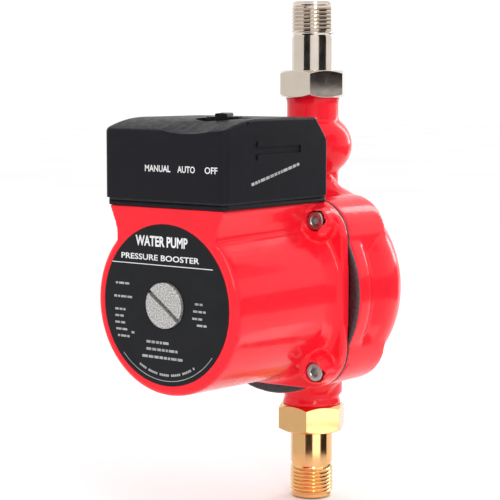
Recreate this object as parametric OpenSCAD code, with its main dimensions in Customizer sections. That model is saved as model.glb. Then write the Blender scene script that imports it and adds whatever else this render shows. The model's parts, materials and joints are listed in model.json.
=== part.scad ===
// Inline wet-rotor booster pump for a household water line.
// A canned motor lies along Y behind the casing, which carries two ports on the vertical pipe axis Z.
// Water enters at the bottom. The origin is the centre of the inlet tailpiece's open end.

/* [Plumbing] */
// Distance between the faces of the inlet and outlet ports
port_span = 160; // [158:1:166]
// Height of the motor axis above the inlet port's face
axis_rise = 65; // [62:1:70]
// Outside diameter of the thread on each port of the casing
port_thread_d = 26.44; // [26:0.02:27]
// Outside diameter of the pipe thread on each tailpiece
pipe_thread_d = 20.955; // [20.8:0.005:21]
// Length of each tailpiece beyond its union nut
tail_len = 33; // [28:0.5:45]
// Width across the flats of the union nuts
nut_flats = 30; // [29.6:0.1:33]
// Height of the union nuts
nut_h = 13; // [13:0.5:16]
// Diameter of the water way through the ports
bore_d = 17; // [15:0.5:17]

/* [Motor] */
// Distance from the pipe axis to the face where the motor meets the casing
joint_y = 33; // [32.5:0.5:34]
// Distance from that face to the motor's front
motor_len = 77.5; // [77:0.5:80]
// Diameter of the motor's front rim
front_d = 81; // [81:1:84]
// Width of the flange across its bowed sides
flange_w = 90; // [89.6:0.2:92]
// Distance between neighbouring flange screws
screw_pitch = 69.5; // [69:0.5:71]
// Diameter of the nameplate
label_d = 71.6; // [66:0.2:73]
// Diameter of the vent plug's head
plug_d = 21.2; // [20:0.2:22]

/* [Terminal box] */
// Width of the lid
lid_w = 68; // [67:1:70]
// Length of the lid along the motor
lid_l = 76; // [75:0.5:77]
// Height of the box's seat above the motor axis
seat_z = 43; // [42.8:0.1:43.6]
// Height of the lid's crown above the motor axis
crown_z = 81.3; // [80:0.1:84]
// Drop of the lid's top at its front edge
crown_drop = 4.5; // [3:0.1:5]
// Sideways place of the selector knob
knob_x = 13; // [10:1:15]

/* [Casing] */
// Diameter of the casing's drum
drum_d = 101; // [100.5:0.5:103]
// Diameter of the necks
neck_d = 25; // [24:0.5:25.5]
// Height of the flow switch chamber above the motor axis
chamber_z = 67; // [66:0.5:68]

/* [Hidden] */
$fn = 64;
eps = 0.01;
cut = 1;

// plumbing, measured up the pipe axis
engage = 5;
seal_t = 2;
collar_t = 3;
nut_wall = nut_h - engage - seal_t - collar_t;
inlet_z = tail_len + nut_h - engage;
axis_z = inlet_z + axis_rise;
outlet_z = inlet_z + port_span;
port_up = port_span - axis_rise;
port_down = -axis_rise;
thread_len = 17;
port_thread_len = engage + 0.3;
port_cone_h = 5;
port_cone_r = port_thread_d / 2 + 1.4;
bore_r = bore_d / 2;
tail_bore_r = 7.5;
shank_r = pipe_thread_d / 2 - 0.28;
nut_hole_r = pipe_thread_d / 2 + 0.15;
collar_r = port_thread_d / 2 - 0.3;
inlet_nut_turn = -3;
outlet_nut_turn = 1;

// motor, measured along Y from the pipe axis
yj = -joint_y;
y_front = yj - motor_len;
front_r = front_d / 2;
rear_r = front_r + 1.5;
flange_t = 5.5;
flange_y = yj - flange_t;
fillet_y = flange_y - 10;
screw_r = 2.5;
screw_head_r = 4.25;
screw_head_h = 5;
screw_seat_y = yj - 8.5;
screw_depth = 16;
corner_r = 19.5;
corner_pitch = 49.8;
pocket_r = 4.6;
boss_y = yj - 15;
boss_r = 7.8;
boss_pitch = 66.2;
side_bow = (flange_w - corner_pitch) / 2 - corner_r;
cavity_r = 37.5;
front_wall = 12;
can_r = 25;
can_wall = 0.5;
can_end_y = y_front + 14;
snout_r = 11.5;
snout_y = y_front + 7.6;
plate_r = 40.5;
core_y0 = y_front + 24;
core_y1 = core_y0 + 38;
core_or = 37.3;
shaft_r = 5;
shaft_y0 = y_front + 10;
bush_gap = 0.05;
label_t = 0.5;
label_hole_r = 11;
plug_r = plug_d / 2;
plug_shank_r = 8.33;
plug_floor_y = y_front + 4;
plug_head_t = 3.5;

// casing
drum_r = drum_d / 2;
neck_r = neck_d / 2;
recess_y = yj + 3.5;
wheel_y0 = yj + 3;
chamber_end_y = yj + 16;
eye_r = 11;
wear_r = 14.5;
eye_wall_y = chamber_end_y + 6;
ear_y1 = yj + 28;
ear_taper = 4;
bulge_r = 14.5;
bulge_offset = 4.6;
flap_seat_z = chamber_z - 6.8;
flap_pivot_y = 7;
flap_pivot_z = flap_seat_z + 1.4;
flap_r = 7.3;
flap_t = 1.6;

// terminal box, measured from the motor axis
lid_wall = 2.2;
base_h = 5;
lid_z0 = seat_z + 3.4;
lid_y0 = y_front - 0.5;
lid_y1 = lid_y0 + lid_l;
lid_corner = 3;
crown_y = lid_y0 + 26;
crown_r = pow(crown_y - lid_y0, 2) / (2 * crown_drop);
chamfer_y = 10;
chamfer_z = 11.3;
knob_y = lid_y0 + 26;
scoop_depth = 1.3;
scoop_r = 86;
scoop_slope = 20;
knob_r = 8;
well_r = 12.5;
well_z = crown_z - 5;
knob_rest = -60;
gland_y = -61;
gland_z = seat_z + 19;
gland_r = 8;
cable_r = 3.75;
lead_y = -60;
lead_pitch = 5;
lead_hole_r = 7;
floor_z = seat_z + 2.4;
post_r = 4.4;

red = "#d8151f";
black = "#1b1c20";
steel = "#b9bcc0";
brass = "#c9a35a";
rubber = "#202020";
copper = "#b06a3a";
white = "#dcdad2";

// ---------- helpers ----------

// Puts its children on the motor axis
module on_axis() {
  translate([0, 0, axis_z]) children();
}

// Round bar along Y between two places, off the motor axis by x and z
module bar_y(r, y0, y1, x = 0, z = 0) {
  translate([x, y0, z]) rotate([-90, 0, 0]) cylinder(r = r, h = y1 - y0);
}

// Ring along Y
module ring_y(r_out, r_in, y0, y1, x = 0, z = 0) {
  difference() {
    bar_y(r_out, y0, y1, x, z);
    bar_y(r_in, y0 - cut, y1 + cut, x, z);
  }
}

// Ring along Z
module ring_z(r_out, r_in, z0, z1) {
  translate([0, 0, z0]) difference() {
    cylinder(r = r_out, h = z1 - z0);
    translate([0, 0, -cut]) cylinder(r = r_in, h = z1 - z0 + 2 * cut);
  }
}

// Solid of revolution about Y, from points [radius, y]
module revolve_y(points) {
  rotate([-90, 0, 0]) rotate_extrude() polygon(points);
}

// Outline in X and Z drawn out along Y
module prism_y(y0, y1) {
  translate([0, y1, 0]) rotate([90, 0, 0]) linear_extrude(y1 - y0) children();
}

// Outline in Y and Z drawn out along X
module prism_x(x0, x1) {
  translate([x0, 0, 0]) rotate([90, 0, 90]) linear_extrude(x1 - x0) children();
}

// Places one child at each corner of a square in X and Z
module at_corners(pitch) {
  for (sx = [-1, 1], sz = [-1, 1])
    translate([sx * pitch / 2, 0, sz * pitch / 2]) children();
}

// Square outline with round corners
module rounded_square(w, d, r) {
  square([w, d - 2 * r], center = true);
  square([w - 2 * r, d], center = true);
  for (sx = [-1, 1], sy = [-1, 1])
    translate([sx * (w / 2 - r), sy * (d / 2 - r)]) circle(r);
}

// Points on an arc of a circle
function arc(cx, cy, r, a0, a1, n) =
  [for (i = [0 : n]) let (a = a0 + (a1 - a0) * i / n) [cx + r * cos(a), cy + r * sin(a)]];

// ---------- casing ----------

// Outline of the drum as [radius, y]: a flat rim, a shallow groove, the volute's swell and a round back
module drum_outline() {
  polygon(concat(
    [[0, yj], [drum_r - 0.8, yj], [drum_r, yj + 0.8], [drum_r, yj + 9],
     [drum_r - 1.6, yj + 12], [drum_r - 2.6, yj + 14.2]],
    arc(drum_r - 22.6, yj + 27.5, 23, -32, 75, 16),
    [[20, yj + 46.5], [0, yj + 46.5]]
  ));
}

module casing_outside() {
  rotate([-90, 0, 0]) rotate_extrude($fn = 96) drum_outline();
  // ears for the flange screws
  at_corners(corner_pitch) {
    bar_y(corner_r, yj, ear_y1);
    translate([0, ear_y1 - eps, 0]) rotate([-90, 0, 0])
      cylinder(r1 = corner_r, r2 = corner_r - ear_taper, h = ear_taper);
  }
  // suction side: a dome behind the wheel's eye and a ridge up from the inlet neck
  translate([0, 1, 0]) sphere(r = 17);
  translate([0, 1, port_down + 10]) cylinder(r = 14.5, h = -port_down - 10);
  // volute throat, rising back to the outlet neck
  translate([0, -19, drum_r - 12]) rotate([-59, 0, 0]) cylinder(r = 11, h = 24);
  // necks and their threaded ends
  translate([0, 0, port_down]) cylinder(r = neck_r, h = port_span);
  for (z = [port_down, port_up - port_thread_len])
    translate([0, 0, z]) cylinder(r = port_thread_d / 2, h = port_thread_len);
  translate([0, 0, port_down + port_thread_len]) cylinder(r1 = port_cone_r, r2 = neck_r, h = port_cone_h);
  // chamber of the flow switch
  rotate_extrude() intersection() {
    translate([bulge_offset, chamber_z]) circle(bulge_r);
    translate([0, chamber_z - bulge_r]) square([2 * bulge_r, 2 * bulge_r]);
  }
}

module casing_inside() {
  bar_y(plate_r + 0.4, yj - cut, recess_y);
  bar_y(38, recess_y - eps, chamber_end_y);
  revolve_y([[36, recess_y + 1], [44, recess_y + 3], [45, recess_y + 6],
             [44, chamber_end_y - 2], [36, chamber_end_y]]);
  bar_y(wear_r, chamber_end_y - eps, chamber_end_y + 4);
  bar_y(eye_r, chamber_end_y, 1);
  translate([0, 1, 0]) sphere(r = 11.5);
  translate([0, 0, port_down - cut]) cylinder(r = bore_r, h = -port_down + cut);
  // discharge way
  translate([0, -21, 41]) rotate([-59, 0, 0]) cylinder(r = 6.5, h = 24.5);
  translate([0, 0, 53.6]) sphere(r = bore_r);
  translate([0, 0, 53.6]) cylinder(r = bore_r, h = port_up - 53.6 + cut);
  translate([0, 0, chamber_z + 1]) sphere(r = 13.8);
  at_corners(screw_pitch) bar_y(screw_r + 0.02, yj - cut, yj + screw_depth + 2);
}

module pump_casing() {
  color(red) on_axis() difference() {
    casing_outside();
    casing_inside();
  }
}

module wear_ring() {
  color(steel) on_axis() ring_y(wear_r - 0.02, 12.75, chamber_end_y + 0.02, chamber_end_y + 3.9);
}

module casing_gasket() {
  color(rubber) on_axis() ring_y(plate_r + 0.2, 38.2, recess_y - 1.5, recess_y - 0.02);
}

// ---------- motor, fixed parts ----------

module bearing_plate() {
  color(steel) on_axis() difference() {
    union() {
      bar_y(plate_r, yj + 0.82, yj + 2);
      bar_y(11.2, yj - 13, yj + 2);
    }
    bar_y(10, yj - 12, yj + 2 + cut);
    bar_y(6.5, yj - 13 - cut, yj);
  }
}

module front_bearing() {
  color("#3a3a3c") on_axis() ring_y(9.98, shaft_r + bush_gap, yj - 11.9, yj - 1);
}

module rotor_can() {
  color(steel) on_axis() difference() {
    union() {
      bar_y(plate_r, yj + 0.02, yj + 0.8);
      bar_y(can_r, can_end_y, yj + 0.8);
      bar_y(snout_r, snout_y, can_end_y + 0.4);
    }
    bar_y(can_r - can_wall, can_end_y + can_wall, yj + 0.8 + cut);
    bar_y(snout_r - can_wall, snout_y - cut, can_end_y + can_wall + cut);
  }
}

module rear_bearing() {
  color("#3a3a3c") on_axis() ring_y(snout_r - can_wall - 0.02, shaft_r + bush_gap, shaft_y0 - 1, shaft_y0 + 6.8);
}

module can_o_ring() {
  color(rubber) on_axis()
    rotate([-90, 0, 0]) rotate_extrude() translate([snout_r + 1, y_front + 10]) circle(0.96);
}

module stator_core() {
  slots = 12;
  color("#8b8d90") on_axis() difference() {
    ring_y(core_or, can_r + 0.2, core_y0, core_y1);
    for (i = [0 : slots - 1])
      rotate([0, i * 360 / slots, 0]) {
        translate([-1.2, core_y0 - cut, can_r]) cube([2.4, core_y1 - core_y0 + 2 * cut, 3]);
        translate([-3.2, core_y0 - cut, can_r + 2]) cube([6.4, core_y1 - core_y0 + 2 * cut, 5.5]);
      }
  }
}

// One end turn of the windings, a round-shouldered ring
module winding_ring(y0, y1) {
  revolve_y([[can_r + 1, y0 + 1.5], [can_r + 2.5, y0], [33, y0], [34.5, y0 + 1.5],
             [34.5, y1 - 1.5], [33, y1], [can_r + 2.5, y1], [can_r + 1, y1 - 1.5]]);
}

module stator_windings() {
  color(copper) on_axis() {
    winding_ring(core_y0 - 9, core_y0 - 0.1);
    winding_ring(core_y1 + 0.1, core_y1 + 8.5);
  }
}

// Pad on top of the barrel that carries the terminal box, as an outline in X and Z
module pad_outline() {
  side = [[32.4, seat_z], [31.8, seat_z - 2], [30.6, seat_z - 4.6], [29.2, seat_z - 8],
          [28.4, seat_z - 11.5], [28.2, seat_z - 15], [28.2, 10]];
  polygon(concat(side, [for (i = [len(side) - 1 : -1 : 0]) [-side[i][0], side[i][1]]]));
}

// Outline of the flange: a square with round corners and bowed sides
module flange_outline() {
  p = corner_pitch / 2;
  centre = (2 * p * p - pow(p + side_bow, 2)) / (2 * side_bow);
  big_r = centre + flange_w / 2;
  turn = atan(p / (p + centre));
  polygon([for (q = [0 : 90 : 270])
    each [for (v = concat(arc(-centre, 0, big_r, -turn, turn, 8), arc(p, p, corner_r, turn, 90 - turn, 10)))
      [v[0] * cos(q) - v[1] * sin(q), v[0] * sin(q) + v[1] * cos(q)]]]);
}

module housing_outside() {
  edge = 3;
  rotate([-90, 0, 0]) rotate_extrude($fn = 96) polygon(concat(
    [[0, yj], [0, y_front]],
    arc(front_r - edge, y_front + edge, edge, -90, 0, 5),
    [[rear_r, flange_y], [rear_r, yj]]
  ));
  prism_y(y_front, flange_y + cut) pad_outline();
  prism_y(flange_y, yj) flange_outline();
  // fillet from the barrel to the flange, and a boss for each screw
  revolve_y([[0, fillet_y], [rear_r - 0.6, fillet_y], [rear_r + 0.4, fillet_y + 5], [rear_r + 1.4, fillet_y + 8],
             [rear_r + 3, flange_y], [0, flange_y + cut]]);
  at_corners(boss_pitch) {
    bar_y(boss_r, boss_y + 4, yj);
    translate([0, boss_y, 0]) rotate([-90, 0, 0]) cylinder(r1 = boss_r - 1.8, r2 = boss_r, h = 4 + eps);
  }
}

module housing_inside() {
  bar_y(cavity_r, y_front + front_wall, yj + cut);
  // screw pockets and clearance holes
  at_corners(screw_pitch) {
    bar_y(pocket_r, boss_y - 20, screw_seat_y);
    bar_y(screw_r + 0.3, screw_seat_y - cut, yj + cut);
  }
  // room above the seat, so that the box lies flat on pad and flange
  translate([-lid_w / 2 - 1, lid_y0 - cut, seat_z]) cube([lid_w + 2, yj - lid_y0 + 2 * cut, 20]);
  // vent plug: counterbore, thread and the can's snout behind it
  bar_y(label_hole_r, y_front - cut, plug_floor_y);
  bar_y(plug_shank_r + 0.07, y_front, y_front + front_wall + cut);
  bar_y(snout_r + 2, y_front + 7.5, y_front + front_wall + cut);
  bar_y(label_d / 2 + 0.3, y_front - cut, y_front + label_t);
  // passage for the leads, and a pocket that lightens the pad
  translate([0, lead_y, 20]) cylinder(r = lead_hole_r, h = 40);
  translate([-22, -104, seat_z - 3]) cube([44, 34, 10]);
  // drain holes under the windings' ends
  for (y = [y_front + 17, yj - 17]) translate([0, y, -60]) cylinder(r = 2, h = 30, $fn = 32);
}

module motor_housing() {
  color(red) on_axis() difference() {
    housing_outside();
    housing_inside();
  }
}

module front_label() {
  color(black) on_axis() ring_y(label_d / 2, label_hole_r, y_front + 0.02, y_front + label_t - 0.02);
}

// Socket head cap screw pointing along +Y, with its head's underside at the origin
module cap_screw(r, head_r, head_h, length, socket) {
  difference() {
    union() {
      translate([0, -head_h, 0]) rotate([-90, 0, 0]) cylinder(r = head_r, h = head_h);
      rotate([-90, 0, 0]) cylinder(r = r, h = length);
    }
    translate([0, -head_h - cut, 0]) rotate([-90, 0, 0]) cylinder(r = socket / sqrt(3), h = head_h * 0.55 + cut, $fn = 6);
  }
}

module flange_screws() {
  color(steel) on_axis() at_corners(screw_pitch) translate([0, screw_seat_y - 0.02, 0])
    cap_screw(screw_r, screw_head_r, screw_head_h, yj - screw_seat_y + screw_depth, 4);
}

// ---------- rotor ----------

module shaft() {
  color("#d9d9dc") on_axis() difference() {
    bar_y(shaft_r - 0.02, shaft_y0, chamber_end_y - 3);
    translate([-0.8, shaft_y0 - cut, -shaft_r]) cube([1.6, 2.5, 2 * shaft_r]);
  }
}

module rotor_core() {
  color("#9da0a4") on_axis() ring_y(can_r - can_wall - 0.4, shaft_r, core_y0, core_y1);
}

module rotor_end_rings() {
  color("#c4c7ca") on_axis() {
    ring_y(22, 12, core_y0 - 3, core_y0 - 0.02);
    ring_y(22, 12, core_y1 + 0.02, core_y1 + 1.8);
  }
}

module thrust_ring() {
  color(white) on_axis() ring_y(9, shaft_r, core_y0 - 6, core_y0 - 0.02);
}

// Backward-curved vane between two radii, as an outline round the wheel's centre
module vane_outline() {
  sweep = 62;
  steps = 10;
  function at(i, off) = let (t = i / steps, r = 12.5 + 23 * t, a = sweep * t)
    [r * cos(a + off * 60 / r), r * sin(a + off * 60 / r)];
  polygon(concat([for (i = [0 : steps]) at(i, -0.9)], [for (i = [steps : -1 : 0]) at(i, 0.9)]));
}

module impeller() {
  vanes = 6;
  color("#23262b") on_axis() {
    difference() {
      union() {
        bar_y(36, wheel_y0, wheel_y0 + 1.6);
        bar_y(8, wheel_y0, chamber_end_y - 3);
      }
      bar_y(shaft_r, wheel_y0 - cut, chamber_end_y);
    }
    translate([0, wheel_y0 + 1.5, 0]) rotate([-90, 0, 0]) linear_extrude(8)
      for (i = [0 : vanes - 1]) rotate(i * 360 / vanes) vane_outline();
  }
}

module impeller_shroud() {
  color("#23262b") on_axis() difference() {
    union() {
      bar_y(36, wheel_y0 + 9.52, wheel_y0 + 11);
      bar_y(12.4, wheel_y0 + 9.52, chamber_end_y + 3.4);
    }
    bar_y(10.8, wheel_y0, chamber_end_y + 5);
  }
}

// ---------- vent plug ----------

module vent_plug() {
  color("#a9aaac") on_axis() difference() {
    union() {
      bar_y(plug_r, plug_floor_y - 2 - plug_head_t, plug_floor_y - 2);
      bar_y(plug_shank_r, plug_floor_y - 2.02, y_front + 7.2);
    }
    rotate([0, 36, 0]) translate([-plug_r - 1, plug_floor_y - 2 - plug_head_t - cut, -1])
      cube([2 * plug_r + 2, 1.8 + cut, 2]);
  }
}

module vent_plug_seal() {
  color(rubber) on_axis()
    rotate([-90, 0, 0]) rotate_extrude() translate([9.7, plug_floor_y - 1]) circle(0.97);
}

// ---------- flow switch ----------

module flap_carrier() {
  color(white) on_axis() difference() {
    union() {
      ring_z(bore_r - 0.05, bore_r - 1.9, flap_seat_z - 5.6, flap_seat_z - 0.02);
      for (sx = [-1, 1]) translate([sx * 3.7 - 0.6, flap_pivot_y - 1.1, flap_seat_z - 1]) cube([1.2, 2.0, 3.2]);
    }
    translate([-6, flap_pivot_y, flap_pivot_z]) rotate([0, 90, 0]) cylinder(r = 0.62, h = 12, $fn = 24);
  }
}

module flap_pin() {
  color(steel) on_axis() translate([-4.2, flap_pivot_y, flap_pivot_z])
    rotate([0, 90, 0]) cylinder(r = 0.6, h = 8.4, $fn = 24);
}

module flow_flap() {
  color("#e8e6df") on_axis() difference() {
    union() {
      translate([0, -0.6, flap_seat_z + 0.1]) cylinder(r = flap_r, h = flap_t);
      translate([-2.7, 3, flap_seat_z + 0.1]) cube([5.4, flap_pivot_y - 3, flap_t]);
      translate([-2.7, flap_pivot_y, flap_pivot_z]) rotate([0, 90, 0]) cylinder(r = 1, h = 5.4, $fn = 32);
    }
    // slots that clear the carrier's lugs
    for (sx = [-1, 1]) translate([sx * 3.7 - 1, 4.8, flap_seat_z - 1]) cube([2, 5, 5]);
    translate([-6, flap_pivot_y, flap_pivot_z]) rotate([0, 90, 0]) cylinder(r = 0.66, h = 12, $fn = 24);
    translate([0, -4.4, flap_seat_z + flap_t - 0.7]) cylinder(r = 2.02, h = 2);
  }
}

module flap_magnet() {
  color("#6f7377") on_axis() translate([0, -4.4, flap_seat_z + flap_t - 0.68]) cylinder(r = 2, h = 2);
}

module reed_sensor() {
  color(black) on_axis() union() {
    bar_y(4.2, lid_y1 - 6, -bulge_offset - bulge_r - 0.3, 0, chamber_z);
    bar_y(6.2, lid_y1 + 0.05, lid_y1 + 3, 0, chamber_z);
  }
}

// ---------- unions ----------

// Tailpiece standing on its open end: pipe thread, plain shank and the collar that the nut pulls on
module tailpiece() {
  chamfer = 0.8;
  reach = tail_len + nut_wall;
  thread_r = pipe_thread_d / 2;
  difference() {
    union() {
      cylinder(r = thread_r, h = thread_len);
      translate([0, 0, thread_len - eps]) cylinder(r = shank_r, h = reach - thread_len + 2 * eps);
      translate([0, 0, reach]) cylinder(r = collar_r, h = collar_t - eps);
    }
    translate([0, 0, -cut]) cylinder(r = tail_bore_r, h = reach + collar_t + 2 * cut);
    translate([0, 0, -eps]) cylinder(r1 = tail_bore_r + chamfer, r2 = tail_bore_r, h = chamfer);
  }
}

// Union nut with its closed end down
module union_nut() {
  corner = nut_flats / sqrt(3);
  difference() {
    intersection() {
      cylinder(r = corner, h = nut_h, $fn = 6);
      rotate_extrude() polygon([[0, 0], [nut_flats / 2 - 0.4, 0], [corner + 0.1, 1.4],
                                [corner + 0.1, nut_h - 1.6], [nut_flats / 2 - 0.4, nut_h], [0, nut_h]]);
    }
    translate([0, 0, -cut]) cylinder(r = nut_hole_r, h = nut_h);
    translate([0, 0, nut_wall]) cylinder(r = port_thread_d / 2 + 0.05, h = nut_h);
    translate([0, 0, nut_h - 0.8]) cylinder(r1 = port_thread_d / 2, r2 = port_thread_d / 2 + 0.9, h = 0.8 + eps);
  }
}

module union_seal() {
  ring_z(collar_r, bore_r, 0.02, seal_t - 0.02);
}

// Turns the outlet's union upside down, so that both unions are drawn once
module at_outlet() {
  translate([0, 0, outlet_z + inlet_z]) mirror([0, 0, 1]) children();
}

module inlet_tailpiece() {
  color(brass) tailpiece();
}

module inlet_nut() {
  color(brass) translate([0, 0, tail_len]) rotate(inlet_nut_turn) union_nut();
}

module inlet_seal() {
  color(rubber) translate([0, 0, inlet_z - seal_t]) union_seal();
}

module outlet_tailpiece() {
  color("#b8b2a6") at_outlet() tailpiece();
}

module outlet_nut() {
  color("#b8b2a6") at_outlet() translate([0, 0, tail_len]) rotate(outlet_nut_turn) union_nut();
}

module outlet_seal() {
  color(rubber) at_outlet() translate([0, 0, inlet_z - seal_t]) union_seal();
}

// ---------- terminal box ----------

// Side view of the lid as an outline in Y and Z, shrunk by in on every side but the bottom
module lid_side(in) {
  top = crown_z - in;
  back = lid_y1 - in;
  sweep = asin((crown_y - lid_y0 - in) / (crown_r - in));
  polygon(concat(
    [[lid_y0 + in, lid_z0]],
    [for (p = arc(crown_y, crown_z - crown_r, crown_r - in, 90 + sweep, 90, 12)) p],
    [[back - chamfer_y + in * 0.4, top], [back, top - chamfer_z + in * 0.4], [back, lid_z0]]
  ));
}

// The lid's body: its side view cut to a plan with round corners
module lid_block(in) {
  intersection() {
    prism_x(-lid_w / 2 + in, lid_w / 2 - in) lid_side(in);
    translate([0, (lid_y0 + lid_y1) / 2, 0]) linear_extrude(crown_z + cut)
      rounded_square(lid_w - 2 * in, lid_l - 2 * in, max(lid_corner - in, 0.8));
  }
}

// Arrow outline pointing to -Y
module arrow_outline() {
  polygon([[-95, 68], [-88.5, 72.5], [-88.5, 69.6], [-57, 69.6], [-57, 66.4], [-88.5, 66.4], [-88.5, 63.5]]);
}

// Frame line round the front panel
module panel_line() {
  difference() {
    square([lid_w - 7, 25], center = true);
    square([lid_w - 8.4, 23.6], center = true);
  }
}

lid_screw_places = [[-23.5, lid_y1 - 14], [23.5, lid_y1 - 14]];

module terminal_box_lid() {
  color(black) on_axis() difference() {
    union() {
      difference() {
        lid_block(0);
        lid_block(lid_wall);
        translate([-lid_w / 2 + lid_wall, lid_y0 + lid_wall, lid_z0 - cut])
          cube([lid_w - 2 * lid_wall, lid_l - 2 * lid_wall, 2]);
      }
      // well of the selector and the posts for the lid's screws
      intersection() {
        union() {
          translate([knob_x, knob_y, well_z - 2]) cylinder(r = well_r + 2, h = 6);
          for (p = lid_screw_places) translate([p[0], p[1], seat_z + base_h]) cylinder(r = post_r, h = 34);
        }
        lid_block(0.1);
      }
    }
    translate([knob_x, knob_y, well_z]) cylinder(r = well_r, h = 12);
    translate([knob_x, knob_y, well_z - 5]) cylinder(r = 4.6, h = 12);
    translate([knob_x, lid_y0, crown_z - crown_drop - scoop_depth]) rotate([scoop_slope, 0, 0])
      bar_y(scoop_r, -10, 30, 0, scoop_r);
    for (p = lid_screw_places) translate([p[0], p[1], 0]) {
      translate([0, 0, seat_z]) cylinder(r = 1.7, h = 50, $fn = 32);
      translate([0, 0, crown_z - 5]) cylinder(r = 3.4, h = 10);
    }
    // mouths for the gland and the flow sensor
    translate([-lid_w / 2 - cut, gland_y, gland_z]) rotate([0, 90, 0]) cylinder(r = gland_r + 0.1, h = 6);
    bar_y(4.3, lid_y1 - 5, lid_y1 + cut, 0, chamber_z);
    // moulded arrow on the side and frame line on the front
    prism_x(lid_w / 2 - 0.6, lid_w / 2 + cut) arrow_outline();
    prism_y(lid_y0 - cut, lid_y0 + 0.4) translate([0, (lid_z0 + crown_z - crown_drop) / 2 - 0.5]) panel_line();
  }
}

// Plan of the box at the lid's foot, shrunk by in on every side
module box_plan(in) {
  translate([0, (lid_y0 + lid_y1) / 2])
    rounded_square(lid_w - 2 * in, lid_l - 2 * in, max(lid_corner - in, 0.8));
}

module terminal_box_base() {
  color(black) on_axis() difference() {
    union() {
      translate([0, 0, seat_z + 0.02]) linear_extrude(2.38) box_plan(0.1);
      translate([0, 0, floor_z - eps]) linear_extrude(5) box_plan(3.2);
    }
    translate([0, 0, floor_z]) linear_extrude(20) difference() {
      box_plan(4.7);
      for (p = lid_screw_places) translate(p) circle(post_r);
    }
    for (p = lid_screw_places) translate([p[0], p[1], 0]) {
      translate([0, 0, seat_z + base_h]) cylinder(r = post_r + 0.2, h = 6);
      translate([0, 0, seat_z + 0.8]) cylinder(r = 1.52, h = 10, $fn = 32);
    }
    translate([0, lead_y, seat_z - cut]) cylinder(r = lead_hole_r - 0.5, h = 10);
    for (x = [-24, 24]) translate([x, -64, seat_z - cut]) cylinder(r = 2.1, h = 10, $fn = 32);
  }
}

module box_gasket() {
  color(rubber) on_axis() translate([0, 0, floor_z + 0.02]) linear_extrude(0.96) difference() {
    box_plan(0.15);
    box_plan(3);
  }
}

// Cross-head screw pointing down, with its head's underside at the origin
module pan_screw(r, head_r, head_h, length) {
  difference() {
    union() {
      cylinder(r = head_r, h = head_h, $fn = 32);
      translate([0, 0, -length]) cylinder(r = r, h = length, $fn = 32);
    }
    for (a = [0, 90]) rotate(a) translate([-head_r * 0.6, -0.4, head_h - 0.9]) cube([head_r * 1.2, 0.8, 2]);
  }
}

module base_screws() {
  color(steel) on_axis() for (x = [-24, 24]) translate([x, -64, floor_z + 0.02]) pan_screw(1.9, 3.6, 2.2, 2.4);
}

module lid_screws() {
  color(steel) on_axis() for (p = lid_screw_places) translate([p[0], p[1], crown_z - 4.98]) pan_screw(1.5, 3.1, 2.2, 32);
}

module selector_knob() {
  flutes = 16;
  color(black) on_axis() translate([knob_x, knob_y, 0]) rotate(knob_rest) difference() {
    union() {
      translate([0, 0, well_z + 0.4]) cylinder(r = knob_r, h = 5.9);
      translate([-knob_r - 1.6, -2.8, well_z + 0.4]) cube([2 * knob_r + 3.2, 5.6, 7.4]);
    }
    for (i = [0 : flutes - 1]) rotate((i + 0.5) * 360 / flutes)
      translate([knob_r + 0.5, 0, well_z]) cylinder(r = 0.9, h = 7, $fn = 16);
    translate([0, 0, well_z]) cylinder(r = 3.02, h = 3.5);
    // groove that shows where the knob points
    translate([3, -0.45, well_z + 7.3]) cube([8, 0.9, 1]);
  }
}

module selector_spindle() {
  color(white) on_axis() translate([knob_x, knob_y, well_z - 11]) cylinder(r = 3, h = 14.4);
}

module selector_switch() {
  color("#2c2d31") on_axis() translate([knob_x, knob_y, 0]) difference() {
    union() {
      translate([-10, -10, well_z - 18]) cube([20, 20, 12]);
      translate([0, 0, well_z - 6.1]) cylinder(r = 4.5, h = 6);
      for (x = [-6, 0, 6]) translate([x - 1.2, -3, well_z - 22]) cube([2.4, 0.8, 4.1]);
    }
    translate([0, 0, well_z - 11.2]) cylinder(r = 3.06, h = 20);
  }
}

module capacitor() {
  color("#e4e2da") on_axis() translate([-19, 0, seat_z + 17]) union() {
    bar_y(9, lid_y0 + 8, lid_y0 + 40);
    for (x = [-3, 3]) bar_y(0.8, lid_y0 + 40, lid_y0 + 43, x);
  }
}

module capacitor_clip() {
  color(steel) on_axis() difference() {
    union() {
      ring_y(10, 9.04, lid_y0 + 20, lid_y0 + 28, -19, seat_z + 17);
      translate([-23, lid_y0 + 20, floor_z + 0.05]) cube([8, 8, 5.4]);
    }
    bar_y(9.04, lid_y0 + 18, lid_y0 + 30, -19, seat_z + 17);
  }
}

terminal_ways = 5;
terminal_y = lid_y1 - 18;

module terminal_block() {
  color(white) on_axis() difference() {
    translate([-terminal_ways * lead_pitch / 2, terminal_y, floor_z + 0.02])
      cube([terminal_ways * lead_pitch, 12, 10]);
    for (i = [0 : terminal_ways - 1]) translate([(i - 2) * lead_pitch, terminal_y, floor_z]) {
      translate([0, 6, 5]) cylinder(r = 2.1, h = 10, $fn = 32);
      translate([0, -cut, 4]) rotate([-90, 0, 0]) cylinder(r = 1.2, h = 4.2, $fn = 24);
    }
  }
}

module terminal_screws() {
  color(steel) on_axis() for (i = [0 : terminal_ways - 1])
    translate([(i - 2) * lead_pitch, terminal_y + 6, floor_z + 7]) pan_screw(1.4, 2, 1.6, 1.9);
}

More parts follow.
